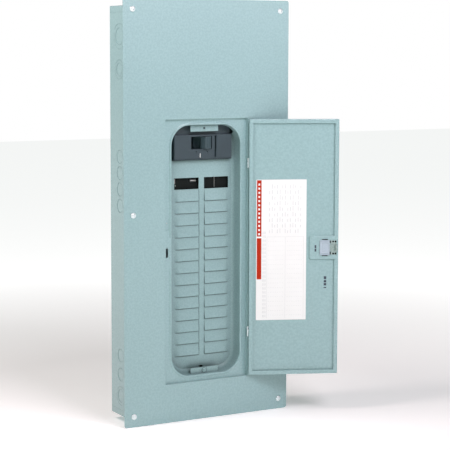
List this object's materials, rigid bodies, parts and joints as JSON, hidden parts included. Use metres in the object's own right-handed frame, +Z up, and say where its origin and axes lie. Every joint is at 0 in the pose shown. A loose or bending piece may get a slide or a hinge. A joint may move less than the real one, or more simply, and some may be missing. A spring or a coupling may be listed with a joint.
{
  "type": "residential load center",
  "caption": "Wall-hung steel load center with screwed cover, hinged door with slide latch, deep dead front, main breaker and bus work behind.",
  "frame": {"origin": "centre of the box's flat back face, where it meets the wall", "axes": "+Z up, +X to the right as seen from the front, the front faces -Y"},
  "size_m": [0.471, 0.1863, 0.8866],
  "materials": {
    "paint": "satin grey-green enamel, fine orange peel",
    "zinc": "bright zinc plate",
    "steel": "plain rolled steel",
    "tinned": "tin plated, dull",
    "black": "moulded thermoset, matt",
    "slate": "moulded thermoset, satin",
    "pale_plastic": "pale moulded plastic",
    "card": "coated card",
    "green": "green dyed zinc"
  },
  "bodies": {
    "enclosure": {"bonding_screw": "green", "breaker_rail_left": "steel", "breaker_rail_right": "steel", "bus_bar_a": "tinned", "bus_bar_b": "tinned", "bus_insulator": "black", "cover_screw_left_lower": "zinc", "cover_screw_left_middle": "zinc", "cover_screw_left_upper": "zinc", "cover_screw_right_lower": "zinc", "cover_screw_right_middle": "zinc", "cover_screw_right_upper": "zinc", "cover_trim": "paint", "dead_front": "paint", "dead_front_screw": "paint", "enclosure_box": "paint", "ground_bar": "tinned", "hinge_leaf_cover_lower": "steel", "hinge_leaf_cover_upper": "steel", "hinge_pin_lower": "zinc", "hinge_pin_upper": "zinc", "interior_pan": "paint", "main_breaker_case": "slate", "main_breaker_seat": "black", "main_handle_pin": "steel", "main_lug_left": "tinned", "main_lug_right": "tinned", "main_lug_screw_left": "steel", "main_lug_screw_right": "steel", "neutral_bar_left": "tinned", "neutral_bar_right": "tinned", "neutral_insulator_left": "black", "neutral_insulator_right": "black", "neutral_lug": "tinned", "neutral_lug_screw": "steel", "neutral_strap": "tinned", "pan_screw_left_lower": "zinc", "pan_screw_left_upper": "zinc", "pan_screw_right_lower": "zinc", "pan_screw_right_upper": "zinc"},
    "door": {"door_panel": "paint", "hinge_leaf_door_upper": "steel", "hinge_leaf_door_lower": "steel", "latch_keeper": "zinc", "directory_card": "card"},
    "latch": {"latch_slider": "pale_plastic", "latch_bolt": "zinc"},
    "main_handle": {"main_breaker_handle": "black"}
  },
  "joints": [
    {"name": "door_hinge", "type": "hinge", "parent": "enclosure", "child": "door", "pos_m": [0.0966, -0.0982, 0], "axis": [0, 0, 1], "range_deg": [-157, 13]},
    {"name": "latch_slide", "type": "slide", "parent": "door", "child": "latch", "axis": [0.9205, -0.3907, 0], "range_m": [0, 0.0023]},
    {"name": "main_handle_throw", "type": "hinge", "parent": "enclosure", "child": "main_handle", "pos_m": [-0.005, -0.0468, 0.14375], "axis": [0, 0, 1], "range_deg": [-44, 0]}
  ]
}
